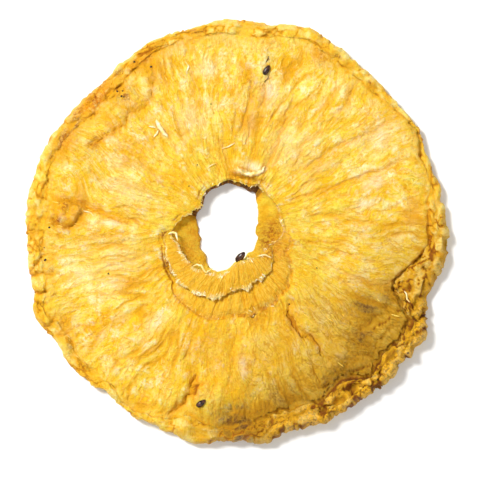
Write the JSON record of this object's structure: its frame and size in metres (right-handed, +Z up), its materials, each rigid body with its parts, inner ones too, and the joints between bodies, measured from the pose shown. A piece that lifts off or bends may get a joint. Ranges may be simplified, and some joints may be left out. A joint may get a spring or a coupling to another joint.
{
  "type": "dried pineapple ring",
  "caption": "Flat ring of dried pineapple flesh with radial fibres, a craggy brown-edged rim and a core hole whose margin has curled up on one side",
  "frame": {"origin": "centre of the outline's bounding box, at the height of the surface that the ring lies on", "axes": "+Z up through the ring's thickness, +Y towards the top of the picture and +X towards its right"},
  "size_m": [0.0916, 0.0918, 0.0058],
  "materials": {
    "dried_pineapple": "satin, fibrous and wrinkled"
  },
  "bodies": {
    "root": {"pineapple_ring": "dried_pineapple"}
  },
  "joints": []
}
